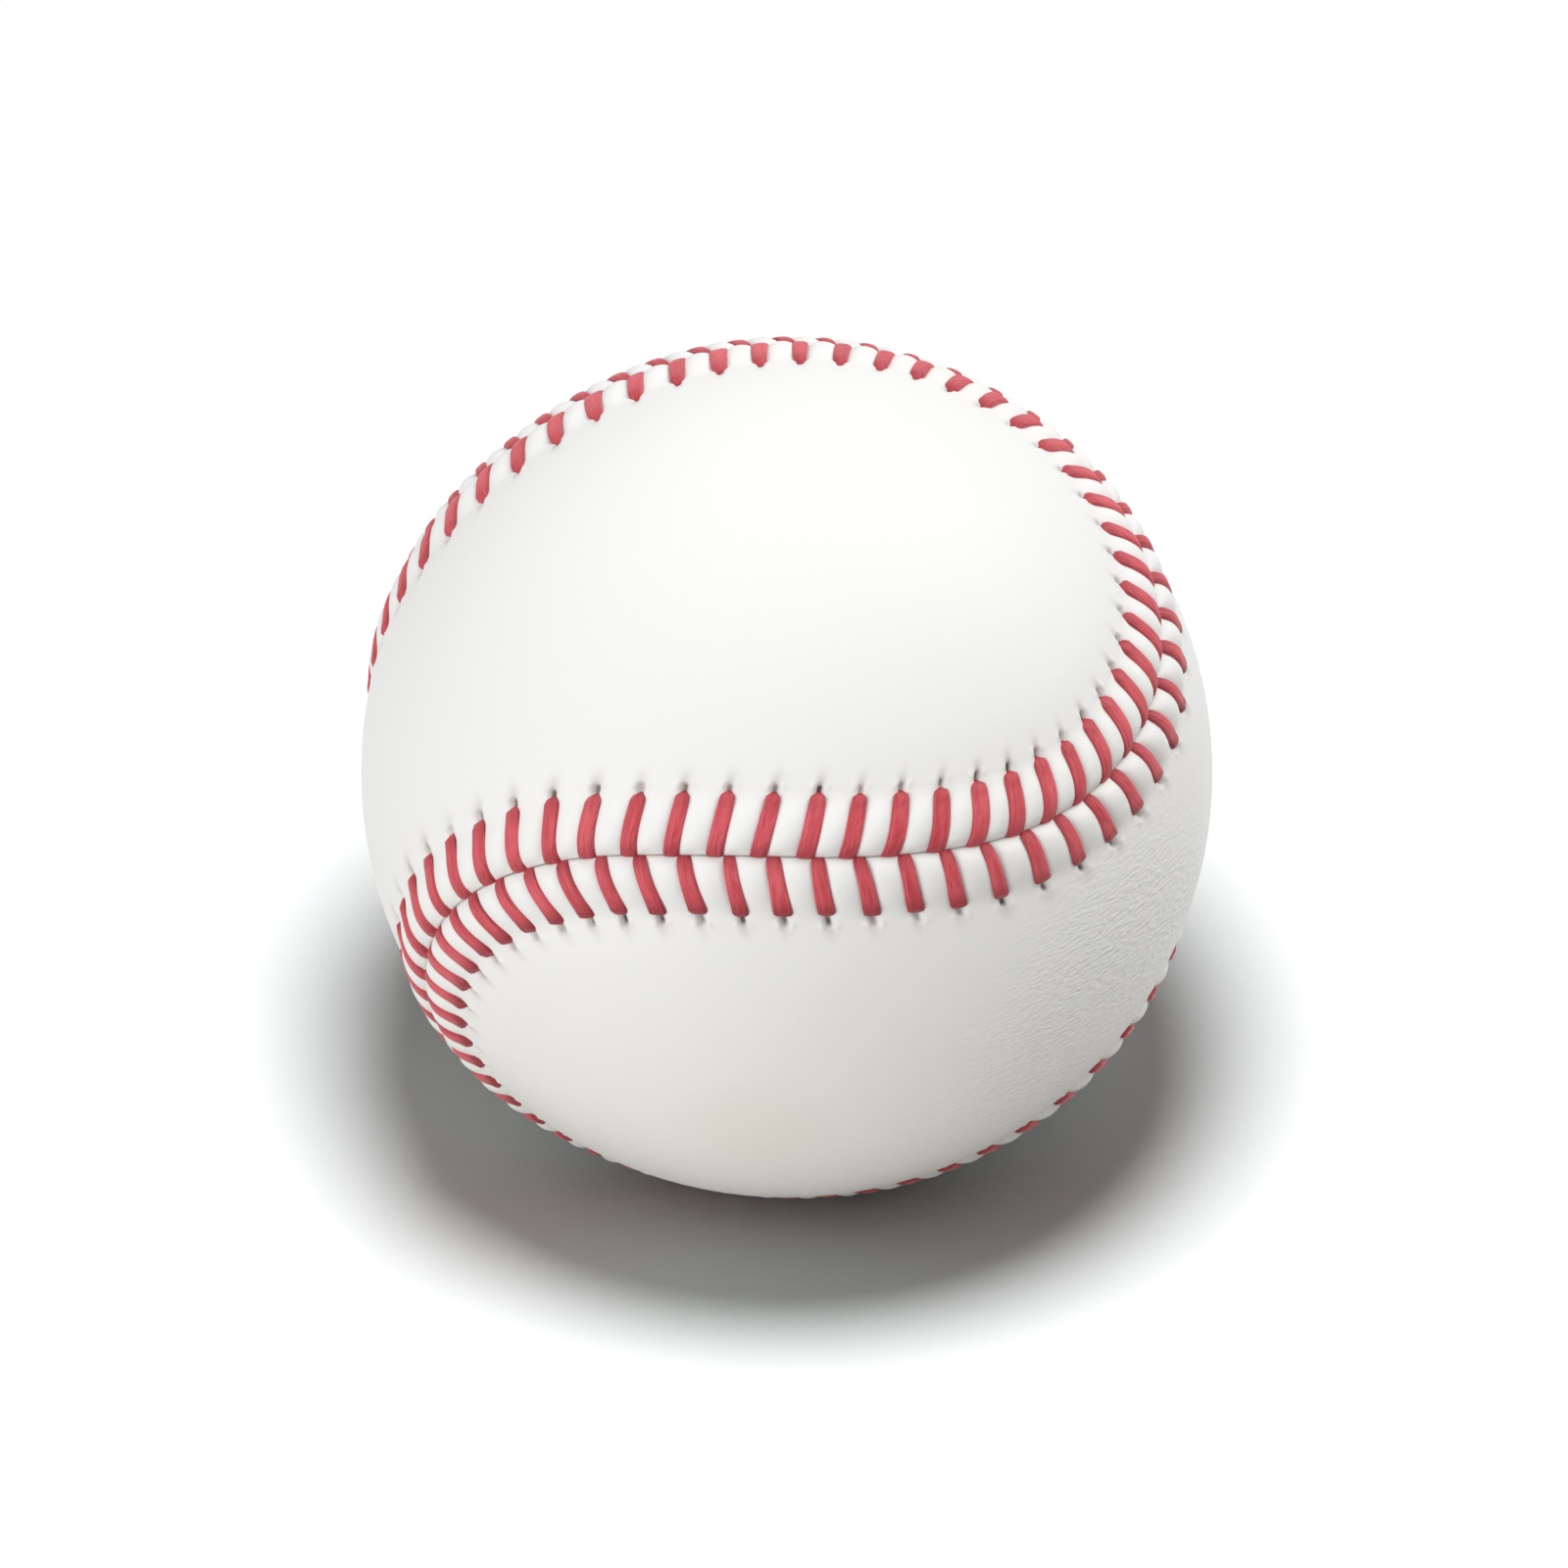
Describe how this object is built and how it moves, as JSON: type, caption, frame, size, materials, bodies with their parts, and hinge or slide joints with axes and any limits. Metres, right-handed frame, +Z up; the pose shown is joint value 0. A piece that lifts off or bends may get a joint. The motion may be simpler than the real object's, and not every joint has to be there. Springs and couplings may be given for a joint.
{
  "type": "baseball",
  "caption": "Hard ball with a cork and rubber centre, a wound yarn core and a white leather cover of figure-eight panels joined by a raised, laced red seam. For throwing, hitting and catching.",
  "frame": {"origin": "the ball's centre", "axes": "+Z up as the ball lies on a table, -Y towards the viewer who sees one lobe of each cover panel with the seam crossing between them, +X to that viewer's right"},
  "size_m": [0.0743, 0.0742, 0.0742],
  "materials": {
    "cork": "matte ground cork and rubber composition",
    "black_rubber": "matte moulded rubber",
    "red_rubber": "matte moulded rubber",
    "grey_wool": "tightly wound wool yarn",
    "white_wool": "tightly wound wool yarn",
    "cotton_yarn": "fine wound cotton yarn",
    "rubber_cement": "thin dried film, slightly glossy",
    "white_leather": "smooth tanned hide, soft sheen",
    "red_thread": "waxed cotton thread, low sheen"
  },
  "bodies": {
    "root": {"cork_core": "cork", "black_rubber_upper": "black_rubber", "black_rubber_lower": "black_rubber", "pill_washer": "red_rubber", "red_rubber_jacket": "red_rubber", "first_winding": "grey_wool", "second_winding": "white_wool", "third_winding": "grey_wool", "finish_winding": "cotton_yarn", "cement_coat": "rubber_cement", "cover_panel_a": "white_leather", "cover_panel_b": "white_leather", "stitch_row_a": "red_thread", "stitch_row_b": "red_thread"}
  },
  "joints": []
}
